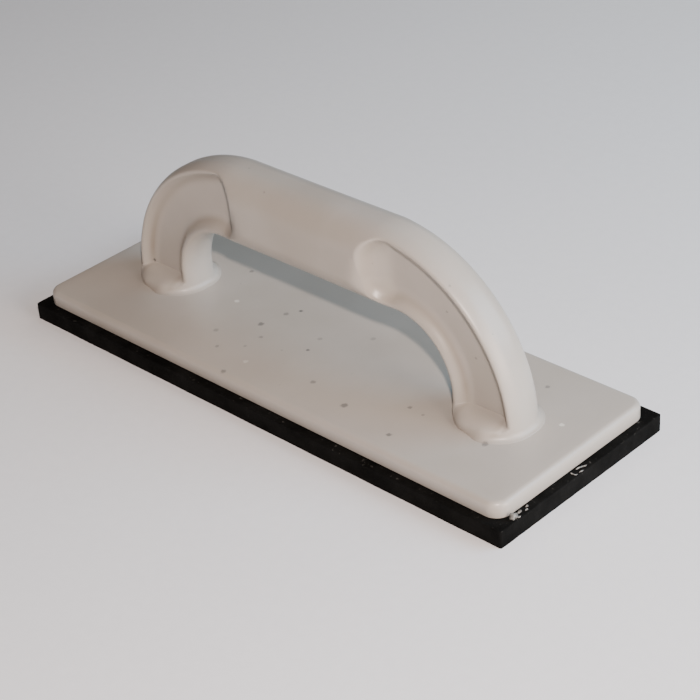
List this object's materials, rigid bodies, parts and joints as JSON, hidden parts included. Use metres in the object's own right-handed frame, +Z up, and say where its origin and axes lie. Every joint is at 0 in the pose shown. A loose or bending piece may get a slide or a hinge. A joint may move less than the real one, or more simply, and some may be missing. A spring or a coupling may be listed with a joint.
{
  "type": "sanding block",
  "caption": "Hand float for sanding: a long rectangular plate with a bow handle moulded on top and a flat black rubber sole glued underneath.",
  "frame": {"origin": "centre of the sole's underside, the face that works on the surface", "axes": "+X along the length and the grip, +Y across the plate, +Z up out of the plate towards the grip"},
  "size_m": [0.28, 0.1, 0.0877],
  "materials": {
    "white_plastic": "satin",
    "black_rubber": "matte",
    "dried_adhesive": "satin"
  },
  "bodies": {
    "root": {"float_body": "white_plastic", "rubber_sole": "black_rubber", "adhesive_film": "dried_adhesive", "glue_bead_corner": "dried_adhesive", "glue_bead_end": "dried_adhesive"}
  },
  "joints": []
}
